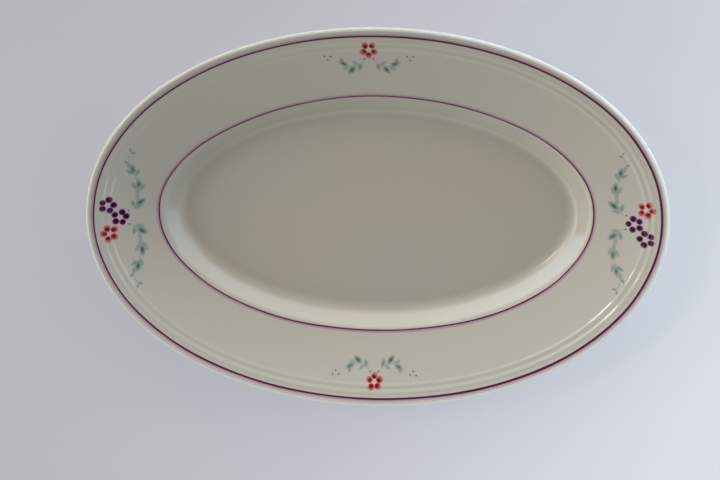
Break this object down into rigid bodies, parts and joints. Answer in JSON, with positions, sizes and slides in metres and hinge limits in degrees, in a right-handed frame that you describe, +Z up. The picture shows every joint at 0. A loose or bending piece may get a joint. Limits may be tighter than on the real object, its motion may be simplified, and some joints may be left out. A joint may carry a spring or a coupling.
{
  "type": "serving platter",
  "caption": "Oval china serving platter with a broad beaded rim, a sunk flat well and a foot ring, decorated with painted lines, small five-petalled flowers and leaf sprays.",
  "frame": {"origin": "centre of the foot ring's bottom plane, which is also the bottom centre of the bounding box", "axes": "+X along the platter's length, +Y across it, +Z up out of the well"},
  "size_m": [0.34, 0.23, 0.035],
  "materials": {
    "china": "glossy clear glaze over warm off-white china; the foot ring's bottom is unglazed",
    "line_enamel": "hand-painted plum line, glossy, with a soft pink fringe",
    "plum_enamel": "glossy plum enamel, dark at each petal's heart",
    "rose_enamel": "glossy rose-red enamel, paler at the petals' edges",
    "leaf_enamel": "glossy teal-grey enamel, thin enough to show the china"
  },
  "bodies": {
    "root": {"platter_body": "china", "rim_line": "line_enamel", "well_line": "line_enamel", "flower_right_rose": "rose_enamel", "flower_right_plum_inner": "plum_enamel", "flower_right_plum_outer": "plum_enamel", "flower_left_rose": "rose_enamel", "flower_left_plum_inner": "plum_enamel", "flower_left_plum_outer": "plum_enamel", "flower_top_rose": "rose_enamel", "flower_bottom_rose": "rose_enamel", "leaf_spray_right_first": "leaf_enamel", "leaf_spray_right_second": "leaf_enamel", "leaf_spray_left_first": "leaf_enamel", "leaf_spray_left_second": "leaf_enamel", "leaf_spray_top_first": "leaf_enamel", "leaf_spray_top_second": "leaf_enamel", "leaf_spray_bottom_first": "leaf_enamel", "leaf_spray_bottom_second": "leaf_enamel"}
  },
  "joints": []
}
